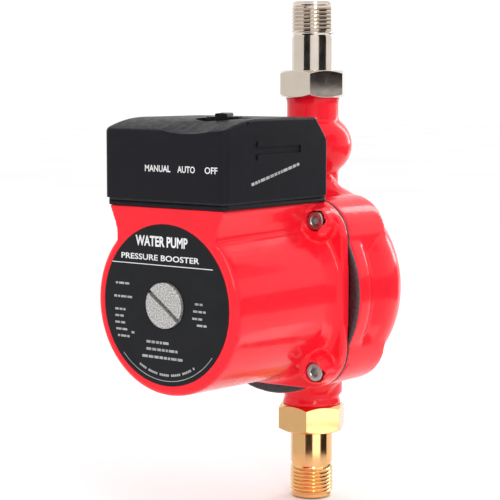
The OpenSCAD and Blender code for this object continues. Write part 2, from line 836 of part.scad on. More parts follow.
module control_board() {
  board_y = lid_y0 + 8;
  color("#2f5f3a") on_axis() difference() {
    union() {
      translate([0.5, board_y, seat_z + 6]) cube([27, 42, 1.6]);
      for (y = [6, 18]) translate([5, board_y + y, seat_z + 7.5]) cube([9, 7, 5]);
      translate([20, board_y + 30, seat_z + 7.5]) cylinder(r = 3.4, h = 6);
      for (x = [3, 25], y = [2, 28]) translate([x, board_y + y, floor_z + 0.05]) cylinder(r = 1.6, h = 3.6, $fn = 24);
    }
    translate([0, lead_y, seat_z]) cylinder(r = 7, h = 12);
  }
}

module earth_screw() {
  color(brass) on_axis() translate([16, terminal_y + 6, floor_z + 0.05]) cylinder(r = 3, h = 3, $fn = 6);
}

module winding_leads() {
  lead_z0 = core_or + 0.3;
  lead_z = floor_z + 4;
  color("#6b4a2b") on_axis() for (i = [-1 : 1]) {
    translate([i * lead_pitch, lead_y, lead_z0]) cylinder(r = 0.9, h = lead_z - lead_z0, $fn = 24);
    translate([i * lead_pitch, lead_y, lead_z]) sphere(r = 0.9, $fn = 24);
    bar_y(0.9, lead_y, terminal_y + 2.5, i * lead_pitch, lead_z, $fn = 24);
  }
}

// Cable gland along -X from the lid's side: thread, hexagon and dome nut
module on_gland() {
  translate([-lid_w / 2, gland_y, axis_z + gland_z]) rotate([0, -90, 0]) children();
}

module cable_gland_body() {
  color(black) on_gland() difference() {
    union() {
      translate([0, 0, -8]) cylinder(r = gland_r, h = 8.1);
      translate([0, 0, 0.05]) cylinder(r = 11.5, h = 5, $fn = 6);
      translate([0, 0, 5]) cylinder(r = 7.4, h = 6);
    }
    translate([0, 0, -9]) cylinder(r = 5.5, h = 22);
  }
}

module cable_gland_nut() {
  color(black) on_gland() difference() {
    union() {
      translate([0, 0, 5.15]) cylinder(r = 11, h = 7, $fn = 6);
      translate([0, 0, 12]) cylinder(r1 = 9.4, r2 = 7, h = 4);
    }
    translate([0, 0, 5]) cylinder(r = 7.5, h = 8);
    translate([0, 0, 5]) cylinder(r = 4.6, h = 12);
  }
}

module cable_grommet() {
  color(rubber) on_gland() ring_z(5.45, cable_r, -2, 12.9);
}

module gland_locknut() {
  color(black) on_gland() difference() {
    translate([0, 0, -lid_wall - 3.6]) cylinder(r = 11, h = 3.5, $fn = 6);
    translate([0, 0, -9]) cylinder(r = gland_r + 0.05, h = 10);
  }
}

pump_casing();
wear_ring();
casing_gasket();
bearing_plate();
front_bearing();
rotor_can();
rear_bearing();
can_o_ring();
stator_core();
stator_windings();
motor_housing();
front_label();
flange_screws();
shaft();
rotor_core();
rotor_end_rings();
thrust_ring();
impeller();
impeller_shroud();
vent_plug();
vent_plug_seal();
flap_carrier();
flap_pin();
flow_flap();
flap_magnet();
reed_sensor();
inlet_tailpiece();
inlet_nut();
inlet_seal();
outlet_tailpiece();
outlet_nut();
outlet_seal();
terminal_box_base();
terminal_box_lid();
box_gasket();
base_screws();
lid_screws();
selector_knob();
selector_spindle();
selector_switch();
capacitor();
capacitor_clip();
terminal_block();
terminal_screws();
control_board();
earth_screw();
winding_leads();
cable_gland_body();
cable_gland_nut();
cable_grommet();
gland_locknut();
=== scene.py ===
# %% [markdown]
# # An inline booster pump for a household water line
# The pump hangs in a vertical pipe. A red casing holds the wheel, a red motor points forward with a black
# nameplate, and a black terminal box with a selector knob sits on top. Two unions join it to the pipe.
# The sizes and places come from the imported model. This script gives each piece its cast, turned, moulded
# or printed surface.

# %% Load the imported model
import json
import math

import bmesh
import bpy
from mathutils import Matrix, Vector


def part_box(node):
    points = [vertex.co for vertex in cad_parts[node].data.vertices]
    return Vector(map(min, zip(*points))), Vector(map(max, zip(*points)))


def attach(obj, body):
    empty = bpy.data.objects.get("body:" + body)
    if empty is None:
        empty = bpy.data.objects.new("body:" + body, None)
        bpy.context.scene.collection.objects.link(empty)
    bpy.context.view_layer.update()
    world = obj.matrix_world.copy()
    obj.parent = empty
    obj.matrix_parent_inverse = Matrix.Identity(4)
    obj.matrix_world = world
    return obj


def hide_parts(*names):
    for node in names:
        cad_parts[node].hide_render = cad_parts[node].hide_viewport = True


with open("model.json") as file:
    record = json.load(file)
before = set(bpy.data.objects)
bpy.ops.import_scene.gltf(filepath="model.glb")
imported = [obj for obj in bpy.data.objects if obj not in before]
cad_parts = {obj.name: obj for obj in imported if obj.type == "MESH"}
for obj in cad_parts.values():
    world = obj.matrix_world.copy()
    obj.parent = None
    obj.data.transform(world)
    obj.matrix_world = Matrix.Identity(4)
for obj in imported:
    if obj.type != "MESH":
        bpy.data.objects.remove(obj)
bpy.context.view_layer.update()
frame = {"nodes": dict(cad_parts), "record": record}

# %% [markdown]
# ## Where things are
# A maker marks out centre lines before cutting anything. The motor's axis, its front, the lid and the pipe
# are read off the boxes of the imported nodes, so that the looks can't drift away from the solid model.
# Pieces are drawn in millimetres and brought to metres when they are put in place.

# %% Centre lines
MM = 0.001


def box_mm(node):
    low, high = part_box(node)
    return low * 1000, high * 1000


label_low, label_high = box_mm("front_label")
lid_low, lid_high = box_mm("terminal_box_lid")
axis_z = (label_low.z + label_high.z) / 2
front_y = label_low.y
label_r = (label_high.x - label_low.x) / 2
print("motor axis at z", round(axis_z, 2), "front at y", round(front_y, 2), "nameplate radius",
      round(label_r, 2))


def on_pipe(z):
    """Local Z stays up: for what stands on the pipe's axis."""
    return Matrix.Translation((0, 0, z))


def facing_front(x, y, z):
    """Local Z points to the viewer in front of the motor, and local Y points up."""
    return Matrix.Translation((x, y, z)) @ Matrix.Rotation(math.radians(90), 4, "X")


def facing_right(x, y, z):
    """Local Z points out of the box's right side, local X to the rear and local Y up."""
    return Matrix.Translation((x, y, z)) @ Matrix(((0, 0, 1, 0), (1, 0, 0, 0), (0, 1, 0, 0), (0, 0, 0, 1)))


# %% [markdown]
# ## Shaping tools
# Turned parts start as half a cross-section that is spun round an axis. Moulded parts start as an outline
# that is drawn out. Both get their sharp edges softened, because a real edge always catches a line of light.
# Holes and pockets are cut with the Boolean modifier and applied at once.

# %% Spin, draw out and soften
def recalc(bm):
    bmesh.ops.remove_doubles(bm, verts=bm.verts, dist=1e-4)
    bmesh.ops.recalc_face_normals(bm, faces=bm.faces)
    return bm


def turned(points, steps=96, hollow=True):
    """Spins a cross-section of (radius, height) points round Z. A hollow section is closed on itself."""
    bm = bmesh.new()
    verts = [bm.verts.new((r, 0, h)) for r, h in points]
    pairs = list(zip(verts, verts[1:])) + ([(verts[-1], verts[0])] if hollow else [])
    edges = [bm.edges.new(pair) for pair in pairs]
    bmesh.ops.spin(bm, geom=verts + edges, cent=(0, 0, 0), axis=(0, 0, 1), angle=math.tau, steps=steps,
                   use_merge=True)
    return recalc(bm)


def drawn_out(outline, height):
    """Fills an outline of (x, y) points and extrudes it along Z."""
    bm = bmesh.new()
    face = bm.faces.new([bm.verts.new((x, y, 0)) for x, y in outline])
    top = bmesh.ops.extrude_face_region(bm, geom=[face])["geom"]
    bmesh.ops.translate(bm, vec=(0, 0, height), verts=[v for v in top if isinstance(v, bmesh.types.BMVert)])
    return recalc(bm)


def block(width, depth, height, at=(0, 0, 0)):
    bm = bmesh.new()
    bmesh.ops.create_cube(bm, size=1)
    bmesh.ops.scale(bm, vec=(width, depth, height), verts=bm.verts)
    bmesh.ops.translate(bm, vec=at, verts=bm.verts)
    return bm


def round_bar(radius, height, sides=64, top=None):
    """A bar from Z = 0 up; six sides make a hexagon."""
    bm = bmesh.new()
    bmesh.ops.create_cone(bm, cap_ends=True, segments=sides, radius1=radius,
                          radius2=radius if top is None else top, depth=height)
    bmesh.ops.translate(bm, vec=(0, 0, height / 2), verts=bm.verts)
    return bm


def soften(bm, width, segments=2, degrees=28):
    sharp = [e for e in bm.edges if len(e.link_faces) == 2 and e.calc_face_angle(0) > math.radians(degrees)]
    bmesh.ops.bevel(bm, geom=sharp, offset=width, offset_type="OFFSET", segments=segments, profile=0.5,
                    affect="EDGES", clamp_overlap=True, material=-1)
    return bm


# %% Put a piece in the scene
def to_object(bm, name, place=Matrix.Identity(4), unit=MM):
    """The mesh gets its place and metres, so the finished object sits at the origin."""
    bm.transform(Matrix.Scale(unit, 4) @ place)
    mesh = bpy.data.meshes.new(name)
    bm.to_mesh(mesh)
    bm.free()
    piece = bpy.data.objects.new(name, mesh)
    bpy.context.scene.collection.objects.link(piece)
    return piece


def apply_modifiers(piece):
    dg = bpy.context.evaluated_depsgraph_get()
    made = bpy.data.meshes.new_from_object(piece.evaluated_get(dg))
    piece.modifiers.clear()
    old, piece.data = piece.data, made
    bpy.data.meshes.remove(old)
    return piece


def carve(piece, tool, operation="DIFFERENCE"):
    """Cuts piece with another object, joins it on, or keeps what they share. The tool is then thrown away."""
    cut = piece.modifiers.new("carve", "BOOLEAN")
    cut.operation, cut.object, cut.solver = operation, tool, "EXACT"
    apply_modifiers(piece)
    bpy.data.objects.remove(tool)
    return piece


def reopen(piece):
    """Takes an object's mesh back into a bmesh in millimetres, merged, for one more step."""
    bm = bmesh.new()
    bm.from_mesh(piece.data)
    bm.transform(Matrix.Scale(1000, 4))
    bmesh.ops.remove_doubles(bm, verts=bm.verts, dist=1e-3)
    bpy.data.objects.remove(piece)
    return bm


made_pieces = []


def fit(piece, body, slot, stands_for=(), sharp=30, even=True):
    """Shades a piece, gives it its finish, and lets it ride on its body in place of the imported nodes."""
    piece.data.shade_smooth()
    piece.data.set_sharp_from_angle(angle=math.radians(sharp))
    if even:
        piece.modifiers.new("even", "WEIGHTED_NORMAL").keep_sharp = True
    piece.data.materials.clear()
    piece.data.materials.append(finishes[slot])
    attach(piece, body)
    if stands_for:
        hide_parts(*stands_for)
    made_pieces.append(piece.name)
    print(piece.name, len(piece.data.polygons), "faces")
    return piece


# %% [markdown]
# ## Finishes
# Each finish is a Principled shader with small patterns on Object coordinates, so that they stay put on the
# metal. Paint gets the faint orange peel of a sprayed coat over cast metal. Turned brass gets tool marks
# round the pipe. Moulded plastic gets a fine grain. What is the same all over is set on the shader itself.

# %% Finish tools
finishes = {}


class Finish:
    """A material that is being built: the shader, and short ways to add patterns to it."""

    def __init__(self, name, colour, roughness, metallic=0.0, **sockets):
        self.mat = bpy.data.materials.new(name)
        self.mat.use_nodes = True
        self.nodes, self.links = self.mat.node_tree.nodes, self.mat.node_tree.links
        self.shader = self.nodes["Principled BSDF"]
        self.set("Base Color", (*colour, 1))
        self.set("Roughness", roughness)
        self.set("Metallic", metallic)
        for socket, value in sockets.items():
            self.set(socket.replace("_", " "), value)
        self.place = self.nodes.new("ShaderNodeTexCoord").outputs["Object"]
        finishes[name] = self.mat

    def set(self, socket, value):
        self.shader.inputs[socket].default_value = value

    def stretch(self, scale):
        """Object coordinates squeezed along some axes, for brushed or turned marks."""
        m = self.nodes.new("ShaderNodeMapping")
        m.inputs["Scale"].default_value = scale
        self.links.new(self.place, m.inputs["Vector"])
        return m.outputs["Vector"]

    def noise(self, scale, detail=3.0, roughness=0.5, where=None):
        n = self.nodes.new("ShaderNodeTexNoise")
        n.inputs["Scale"].default_value = scale
        n.inputs["Detail"].default_value = detail
        n.inputs["Roughness"].default_value = roughness
        self.links.new(where or self.place, n.inputs["Vector"])
        return n.outputs["Fac"]

    def ramp(self, value, stops):
        """Turns a pattern into colours; stops are (position, colour)."""
        r = self.nodes.new("ShaderNodeValToRGB")
        r.color_ramp.elements[0].position, r.color_ramp.elements[-1].position = stops[0][0], stops[-1][0]
        for place, _ in stops[1:-1]:
            r.color_ramp.elements.new(place)
        for element, (_, colour) in zip(r.color_ramp.elements, stops):
            element.color = (*colour, 1)
        self.links.new(value, r.inputs["Fac"])
        return r.outputs["Color"]

    def between(self, value, low, high, out_low, out_high):
        m = self.nodes.new("ShaderNodeMapRange")
        for socket, number in zip(("From Min", "From Max", "To Min", "To Max"),
                                  (low, high, out_low, out_high)):
            m.inputs[socket].default_value = number
        self.links.new(value, m.inputs["Value"])
        return m.outputs["Result"]

    def colour(self, value):
        self.links.new(value, self.shader.inputs["Base Color"])

    def rough(self, value, low, high):
        self.links.new(self.between(value, 0.3, 0.7, low, high), self.shader.inputs["Roughness"])

    def bump(self, value, height, strength=1.0):
        """Adds relief of that height in metres on top of what is there already."""
        b = self.nodes.new("ShaderNodeBump")
        b.inputs["Distance"].default_value = height
        b.inputs["Strength"].default_value = strength
        self.links.new(value, b.inputs["Height"])
        before = self.shader.inputs["Normal"].links
        if before:
            self.links.new(before[0].from_socket, b.inputs["Normal"])
        self.links.new(b.outputs["Normal"], self.shader.inputs["Normal"])


def around(colour, spread):
    """Three near shades of a colour for a quiet mottle."""
    return [(0.3, [c * (1 - spread) for c in colour]), (0.5, colour),
            (0.7, [min(1, c * (1 + spread)) for c in colour])]


# %% [markdown]
# ## Red enamel on cast metal
# The castings are dipped and baked in red enamel. It is glossy, a little thicker in the corners, and follows
# the skin of the casting below it. Two scales of noise give the orange peel and the casting's swell. The
# machined joint face of the casing was never painted: the finish turns to bare grey iron in front of it.

# %% Enamel
ENAMEL = (0.80, 0.0085, 0.021)


def enamel(name):
    f = Finish(name, ENAMEL, 0.2, Coat_Weight=0.14, Coat_Roughness=0.05, Specular_IOR_Level=0.2)
    swell = f.noise(90, 2)
    peel = f.noise(900, 2)
    f.colour(f.ramp(f.noise(60, 3), around(ENAMEL, 0.06)))
    f.rough(f.noise(260, 4), 0.14, 0.24)
    f.bump(swell, 0.00022, 0.5)
    f.bump(peel, 0.00002, 0.6)
    return f


def bare_in_front_of(f, y, bare_colour):
    """Turns a painted finish to bare machined metal in front of the plane at y."""
    xyz = f.nodes.new("ShaderNodeSeparateXYZ")
    f.links.new(f.place, xyz.inputs[0])
    is_bare = f.between(xyz.outputs["Y"], y - 0.00015, y + 0.00015, 1, 0)
    for socket, pattern in (("Base Color", f.ramp(f.noise(700, 3), around(bare_colour, 0.25))),
                            ("Roughness", f.between(f.noise(500, 3), 0.3, 0.7, 0.34, 0.5))):
        mix = f.nodes.new("ShaderNodeMix")
        mix.data_type = "RGBA" if socket == "Base Color" else "FLOAT"
        kind = "Color" if socket == "Base Color" else "Float"
        a, b, out = ([s for s in group if s.type == ("RGBA" if kind == "Color" else "VALUE")] for group in
                     ([s for s in mix.inputs if s.name == "A"], [s for s in mix.inputs if s.name == "B"],
                      mix.outputs))
        f.links.new(is_bare, mix.inputs[0])
        f.links.new(f.shader.inputs[socket].links[0].from_socket, a[0])
        f.links.new(pattern, b[0])
        f.links.new(out[0], f.shader.inputs[socket])
    f.links.new(is_bare, f.shader.inputs["Metallic"])


enamel("red_housing")
casing_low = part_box("pump_casing")[0]
bare_in_front_of(enamel("red_casting"), casing_low.y + 0.0008, (0.07, 0.06, 0.065))

# %% [markdown]
# ## Brass and steel
# Both unions are turned brass. The upper one gets a paler, greyer colour, the finish named nickel: this is
# painted light, standing for the different light on the same brass. Turning leaves fine rings round the pipe:
# noise that is squeezed along Z and stretched round it. A slow noise warms and dulls the colour.

# %% Metals
def turned_metal(name, colour, low, high, spread=0.1, rings=(6, 6, 2600), height=0.000004):
    f = Finish(name, colour, low, 1.0)
    marks = f.noise(1.0, 2, where=f.stretch(rings))
    f.colour(f.ramp(f.noise(130, 4), around(colour, spread)))
    f.rough(f.noise(220, 4), low, high)
    f.bump(marks, height, 0.35)
    return f


turned_metal("brass", (0.80, 0.48, 0.21), 0.09, 0.15, 0.05)
# Painted light: the upper union is the same brass as the lower one, painted paler and greyer for the
# different light on it.
turned_metal("nickel", (0.66, 0.58, 0.51), 0.1, 0.16, 0.04)
turned_metal("stainless", (0.62, 0.62, 0.64), 0.2, 0.34, 0.05, (900, 60, 900))
turned_metal("screw_steel", (0.36, 0.35, 0.34), 0.22, 0.38, 0.08, (1200, 1200, 1200))
turned_metal("shaft_steel", (0.7, 0.7, 0.72), 0.12, 0.2, 0.04, (60, 2400, 60))
turned_metal("aluminium", (0.7, 0.71, 0.72), 0.35, 0.5, 0.06, (600, 600, 600), 0.00003)
turned_metal("magnet", (0.36, 0.37, 0.39), 0.25, 0.4)
turned_metal("lamination", (0.34, 0.34, 0.36), 0.35, 0.5, 0.12, (1, 1400, 1), 0.00006)
turned_metal("copper", (0.72, 0.3, 0.13), 0.28, 0.42, 0.15, (1500, 300, 1500), 0.00008)

# %% [markdown]
# ## The vent plug's grey metal
# The plug is pressed from metal powder and plated. It looks like pale stone: fine light and dark grains
# with a dull shine. A hard-edged noise ramp gives the grains, and the same noise gives their pits.

# %% Sintered metal
plug_finish = Finish("plug_steel", (0.45, 0.44, 0.43), 0.42, 0.55)
grains = plug_finish.noise(1500, 3, 0.7)
plug_finish.colour(plug_finish.ramp(grains, [(0.34, (0.16, 0.155, 0.15)), (0.5, (0.42, 0.41, 0.40)),
                                             (0.64, (0.68, 0.67, 0.65))]))
plug_finish.rough(plug_finish.noise(900, 3), 0.34, 0.55)
plug_finish.bump(grains, 0.00005, 0.6)

# %% [markdown]
# ## Plastics, rubber and print
# The box and knob are black plastic from a spark-eroded mould, so they have a fine even grain. The
# nameplate is black print on a smooth sheet. White ink is nearly matt, with slightly uneven cover.

# %% Plastics and rubber
def moulded(name, colour, low, high, grain=2600, height=0.00002, spread=0.1, shine=0.4, **sockets):
    f = Finish(name, colour, low, Specular_IOR_Level=shine, **sockets)
    f.colour(f.ramp(f.noise(120, 3), around(colour, spread)))
    f.rough(f.noise(400, 3), low, high)
    f.bump(f.noise(grain, 2), height, 0.7)
    return f


moulded("box_plastic", (0.0085, 0.0085, 0.0115), 0.36, 0.5, shine=0.1)
moulded("knob_plastic", (0.004, 0.004, 0.005), 0.3, 0.42, 1800, shine=0.12)
moulded("switch_plastic", (0.025, 0.026, 0.03), 0.35, 0.5)
moulded("impeller_plastic", (0.014, 0.016, 0.02), 0.4, 0.55, 1500, 0.00003)
moulded("white_plastic", (0.74, 0.72, 0.66), 0.25, 0.4, 2000, 0.00001, 0.03)
moulded("flap_plastic", (0.76, 0.74, 0.68), 0.22, 0.35, 2000, 0.00001, 0.03)
moulded("rubber", (0.012, 0.012, 0.012), 0.6, 0.8, 1400, 0.00004)
moulded("fibre_seal", (0.05, 0.045, 0.04), 0.65, 0.85, 900, 0.00006, 0.3)
moulded("carbon", (0.02, 0.02, 0.022), 0.3, 0.45, 3000, 0.00001)
moulded("board", (0.02, 0.12, 0.05), 0.3, 0.5, 1200, 0.00001, 0.2)
moulded("label", (0.009, 0.0095, 0.0115), 0.3, 0.42, 3200, 0.000008, 0.15, 0.13)
white_ink = moulded("white_ink", (0.7, 0.7, 0.7), 0.45, 0.6, 2500, 0.000006, 0.12)
grey_ink = moulded("grey_ink", (0.33, 0.33, 0.335), 0.45, 0.6, 2500, 0.000006, 0.25)
print(len(finishes), "finishes")

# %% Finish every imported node
slot_of = {s["node"]: s["material_slot"] for s in frame["record"]["subparts"]}
for node, shown in frame["nodes"].items():
    shown.data.materials.clear()
    shown.data.materials.append(finishes[slot_of[node]])

# %% [markdown]
# ## Castings
# The casing and the motor housing are poured in sand and die, so every corner between two surfaces is
# filled with a small curve. Modelling all those curves one by one would take long. A merged copy of the
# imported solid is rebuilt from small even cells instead, and smoothed: that rounds every edge and fills
# every corner, as the mould does. Raised roots under the necks and fuller ends on the ears are joined to
# the casing before that, so that they melt into it.

# %% Cast skin
def cast_skin(name, node, cell, rounds, keep, additions=()):
    bm = bmesh.new()
    bm.from_mesh(frame["nodes"][node].data)
    bmesh.ops.remove_doubles(bm, verts=bm.verts, dist=1e-6)
    piece = to_object(bm, name, unit=1)
    for extra in additions:
        carve(piece, to_object(extra, "extra"), "UNION")
    remesh = piece.modifiers.new("cells", "REMESH")
    remesh.mode, remesh.voxel_size, remesh.adaptivity = "VOXEL", cell * MM, 0
    smooth = piece.modifiers.new("fillets", "SMOOTH")
    smooth.factor, smooth.iterations = 0.5, rounds
    fewer = piece.modifiers.new("fewer", "DECIMATE")
    fewer.ratio = keep
    return apply_modifiers(piece)


NECK_ROOT = [(17, 42), (24.5, 42), (24.5, 43.3), (13.2, 53.2), (12.2, 53.2)]
NECK_ROOT_Y, NECK_ROOT_DEPTH = -6, 0.55
EAR_R, EAR_LENGTH, EAR_FOOT, EAR_REACH = 19.4, 8, -9.5, 24.9


def neck_root(up):
    """The casting spreads where a neck leaves the drum. The root is flattened from front to back."""
    root = turned(NECK_ROOT, 96)
    turn = Matrix.Identity(4) if up else Matrix.Rotation(math.pi, 4, "X")
    flat = Matrix.Diagonal((1, NECK_ROOT_DEPTH, 1, 1))
    root.transform(Matrix.Translation((0, NECK_ROOT_Y, axis_z)) @ flat @ turn)
    return root


def ear(sx, sz):
    """The end of an ear, a little longer and squarer than the drum behind it."""
    end = round_bar(EAR_R, EAR_LENGTH, 96)
    place = Matrix.Translation((sx * EAR_REACH, EAR_FOOT, axis_z + sz * EAR_REACH))
    end.transform(place @ Matrix.Rotation(math.radians(-90), 4, "X"))
    return end


additions = [neck_root(True), neck_root(False)] + [ear(sx, sz) for sx in (1, -1) for sz in (1, -1)]
casing = cast_skin("pump_casing_skin", "pump_casing", 0.9, 8, 0.6, additions)
fit(casing, "pump", "red_casting", ["pump_casing"], sharp=60, even=False)
housing = cast_skin("motor_housing_skin", "motor_housing", 0.8, 5, 0.7)
fit(housing, "pump", "red_housing", ["motor_housing"], sharp=60, even=False)

# %% [markdown]
# ## Unions
# A union is a threaded tailpiece, a loose nut and a flat seal. The tailpiece is turned from bar: its
# section is spun round the pipe. The thread is a small ridge that is spun while it climbs, one pitch each
# turn, and fades out at both ends as a die leaves it. The nut is a hexagon whose corners were turned off
# at 30 degrees, which leaves the curved edges that every real nut has.

# %% Tailpiece and thread
tail_low, tail_high = box_mm("inlet_tailpiece")
nut_low, nut_high = box_mm("inlet_nut")
tail_h = tail_high.z - tail_low.z
THREAD_R, THREAD_L, PITCH, THREAD_DEPTH = 10.4775, 17.0, 1.814, 0.8
SHANK_R, BORE_R, COLLAR_R, COLLAR_T = 10.2, 7.5, 12.9, 3.0


def thread_ridge(radius, depth, pitch, length, per_turn=72):
    """A closed ridge that climbs round Z and fades into the core at both ends."""
    turns = (length - pitch) / pitch
    steps = int(per_turn * turns)
    bm = bmesh.new()
    core = radius - depth
    section = [(core - 0.3, 0.02), (core, 0.04), (radius - 0.08, pitch * 0.34), (radius - 0.08, pitch * 0.66),
               (core, pitch - 0.04), (core - 0.3, pitch - 0.02)]
    verts = [bm.verts.new((r, 0, h)) for r, h in section]
    edges = [bm.edges.new((verts[i], verts[(i + 1) % len(verts)])) for i in range(len(verts))]
    start = bm.faces.new(verts)
    end = bmesh.ops.spin(bm, geom=verts + edges, cent=(0, 0, 0), axis=(0, 0, 1), angle=math.tau * turns,
                         steps=steps, dvec=(0, 0, turns * pitch / steps), use_duplicate=False)["geom_last"]
    bm.faces.new([v for v in end if isinstance(v, bmesh.types.BMVert)])
    for v in bm.verts:
        share = min(v.co.z, length - v.co.z) / (pitch * 1.6)
        r = math.hypot(v.co.x, v.co.y)
        if share < 1 and r > core - 0.1:
            v.co.xy *= (core - 0.25 + (r - core + 0.25) * max(share, 0)) / r
    bmesh.ops.recalc_face_normals(bm, faces=bm.faces)
    return bm


def tailpiece(name, stands_for, slot, place):
    core = THREAD_R - THREAD_DEPTH
    body = turned([(BORE_R, 0), (core - 0.4, 0), (core, 0.5), (core, THREAD_L - 0.6),
                   (SHANK_R, THREAD_L + 0.4),
                   (SHANK_R, tail_h - COLLAR_T), (COLLAR_R, tail_h - COLLAR_T), (COLLAR_R, tail_h),
                   (BORE_R, tail_h)], 128)
    soften(body, 0.25)
    ridge = thread_ridge(THREAD_R, THREAD_DEPTH, PITCH, THREAD_L)
    spare = bpy.data.meshes.new("spare")
    ridge.to_mesh(spare)
    ridge.free()
    body.from_mesh(spare)
    bpy.data.meshes.remove(spare)
    piece = to_object(body, name, place)
    if place.determinant() < 0:
        piece.data.flip_normals()
    return fit(piece, "pump", slot, [stands_for])


top_z = box_mm("outlet_tailpiece")[1].z
upside_down = Matrix.Translation((0, 0, top_z)) @ Matrix.Rotation(math.pi, 4, "X")
tailpiece("inlet_tailpiece_turned", "inlet_tailpiece", "brass", on_pipe(0))
tailpiece("outlet_tailpiece_turned", "outlet_tailpiece", "nickel", upside_down)

# %% Union nut
NUT_FLATS, NUT_H, NUT_WALL = 30.0, nut_high.z - nut_low.z, 3.0


def union_nut(name, stands_for, slot, place, turn):
    corner = NUT_FLATS / math.sqrt(3)
    nut = to_object(round_bar(corner, NUT_H, 6), name)
    flat, slope = NUT_FLATS / 2 - 0.3, math.tan(math.radians(30))
    rise = (corner + 1 - flat) * slope
    chamfer = turned([(0, 0), (flat, 0), (corner + 1, rise), (corner + 1, NUT_H - rise), (flat, NUT_H),
                      (0, NUT_H)],
                     180, hollow=False)
    carve(nut, to_object(chamfer, "chamfer"), "INTERSECT")
    hole = turned([(0, -1), (10.62, -1), (10.62, NUT_WALL), (13.27, NUT_WALL), (13.27, NUT_H - 0.8),
                   (14.1, NUT_H + 0.1), (14.1, NUT_H + 1), (0, NUT_H + 1)], 96, hollow=False)
    carve(nut, to_object(hole, "hole"))
    bm = soften(reopen(nut), 0.22, 2, 20)
    return fit(to_object(bm, name, place @ Matrix.Rotation(math.radians(turn), 4, "Z")), "pump", slot,
               [stands_for])


nut_up_high = box_mm("outlet_nut")[1]
union_nut("inlet_nut_turned", "inlet_nut", "brass", on_pipe(nut_low.z), 27)
union_nut("outlet_nut_turned", "outlet_nut", "nickel",
          Matrix.Translation((0, 0, nut_up_high.z)) @ Matrix.Rotation(math.pi, 4, "X"), 29)

# %% [markdown]
# ## Screws of the flange
# Four socket head screws sit in pockets of the flange. The head is a turned cylinder with a rounded edge,
# and the hexagon socket is broached into it with a small cone at its mouth.

# %% Flange screws
screws_low, screws_high = box_mm("flange_screws")
HEAD_R, HEAD_H, SCREW_R = 4.25, 5.0, 2.5
reach_x = (screws_high.x - screws_low.x) / 2 - HEAD_R


def cap_screw(length):
    screw = to_object(soften(turned([(0, 0), (HEAD_R, 0), (HEAD_R, -HEAD_H), (SCREW_R, -HEAD_H),
                                     (SCREW_R, -length),
                                     (0, -length)], 64, hollow=False), 0.35, 3), "screw")
    socket = round_bar(4 / math.sqrt(3), 4, 6)
    bmesh.ops.translate(socket, vec=(0, 0, -2.8), verts=socket.verts)
    carve(screw, to_object(socket, "socket"))
    mouth = turned([(0, -0.35), (2.2, -0.35), (2.8, 0.3), (0, 0.3)], 48, hollow=False)
    return carve(screw, to_object(mouth, "mouth"))


screw_length = screws_high.y - screws_low.y
pattern = reopen(cap_screw(screw_length))
pattern_mesh = bpy.data.meshes.new("pattern")
pattern.to_mesh(pattern_mesh)
pattern.free()
for i, (sx, sz, spin) in enumerate([(1, 1, 10), (1, -1, 33), (-1, 1, 47), (-1, -1, 21)]):
    bm = bmesh.new()
    bm.from_mesh(pattern_mesh)
    place = facing_front(sx * reach_x, screws_low.y,
                         axis_z + sz * reach_x) @ Matrix.Rotation(math.radians(spin), 4, "Z")
    fit(to_object(bm, f"flange_screw_{i}", place), "pump", "screw_steel", ["flange_screws"] if i == 0 else ())

# %% [markdown]
# ## Nameplate
# The nameplate is a thin black ring that lies in a shallow recess of the motor's front. Its title, its
# lines and the small print are white ink. The words are generic, and the small print is only short bars,
# which is how a draughtsman hints at text. Ink is given a real, very small thickness.

# %% Plate and ink tools
plate_hole = 10.45
plate = turned([(plate_hole, 0), (label_r, 0), (label_r, 0.46), (plate_hole, 0.46)], 128)
soften(plate, 0.12)
fit(to_object(plate, "nameplate", facing_front(0, label_high.y, axis_z)), "pump", "label", ["front_label"])
INK = 0.03


def words(text, x, y, width, height, bold=0.0):
    """Generic words as a thin solid, fitted to a width and a height, with their centre at x, y."""
    curve = bpy.data.curves.new("words", "FONT")
    curve.body, curve.align_x, curve.align_y = text, "CENTER", "CENTER"
    curve.extrude, curve.offset, curve.resolution_u = 0.5, bold, 3
    writer = bpy.data.objects.new("words", curve)
    bpy.context.scene.collection.objects.link(writer)
    bpy.context.view_layer.update()
    mesh = bpy.data.meshes.new_from_object(writer.evaluated_get(bpy.context.evaluated_depsgraph_get()))
    bpy.data.objects.remove(writer)
    bm = bmesh.new()
    bm.from_mesh(mesh)
    bpy.data.meshes.remove(mesh)
    bmesh.ops.remove_doubles(bm, verts=bm.verts, dist=1e-5)
    low = Vector(min(v.co[i] for v in bm.verts) for i in range(3))
    high = Vector(max(v.co[i] for v in bm.verts) for i in range(3))
    size = high - low
    bmesh.ops.translate(bm, vec=-(low + high) / 2, verts=bm.verts)
    bmesh.ops.scale(bm, vec=(width / size.x, height / size.y, INK / size.z), verts=bm.verts)
    bmesh.ops.translate(bm, vec=(x, y, INK / 2), verts=bm.verts)
    return bm


def dash(x0, x1, y, height):
    """One bar of ink from x0 to x1."""
    return block(x1 - x0, height, INK, ((x0 + x1) / 2, y, INK / 2))


def small_print(x0, x1, y, height, seed):
    """A line of small print: bars of uneven length, the same each time."""
    bars, x, i = [], x0, 0
    while x < x1 - 0.8:
        long = min(1.3 + 1.9 * ((seed * 7 + i * 5) % 6) / 5, x1 - x)
        bars.append(dash(x, x + long, y, height))
        x, i = x + long + 0.55, i + 1
    return bars


def printed(name, parts, place, slot, ink, body="pump"):
    """Joins bits of ink into one piece."""
    whole = bmesh.new()
    for part in parts:
        spare = bpy.data.meshes.new("spare")
        part.to_mesh(spare)
        part.free()
        whole.from_mesh(spare)
        bpy.data.meshes.remove(spare)
    piece = to_object(whole, name, place)
    fit(piece, body, slot)
    piece.data.materials[0] = ink.mat
    return piece


# %% What the nameplate says
ARC_PRINT_R, RIM_LINE_R = 31, 33.6


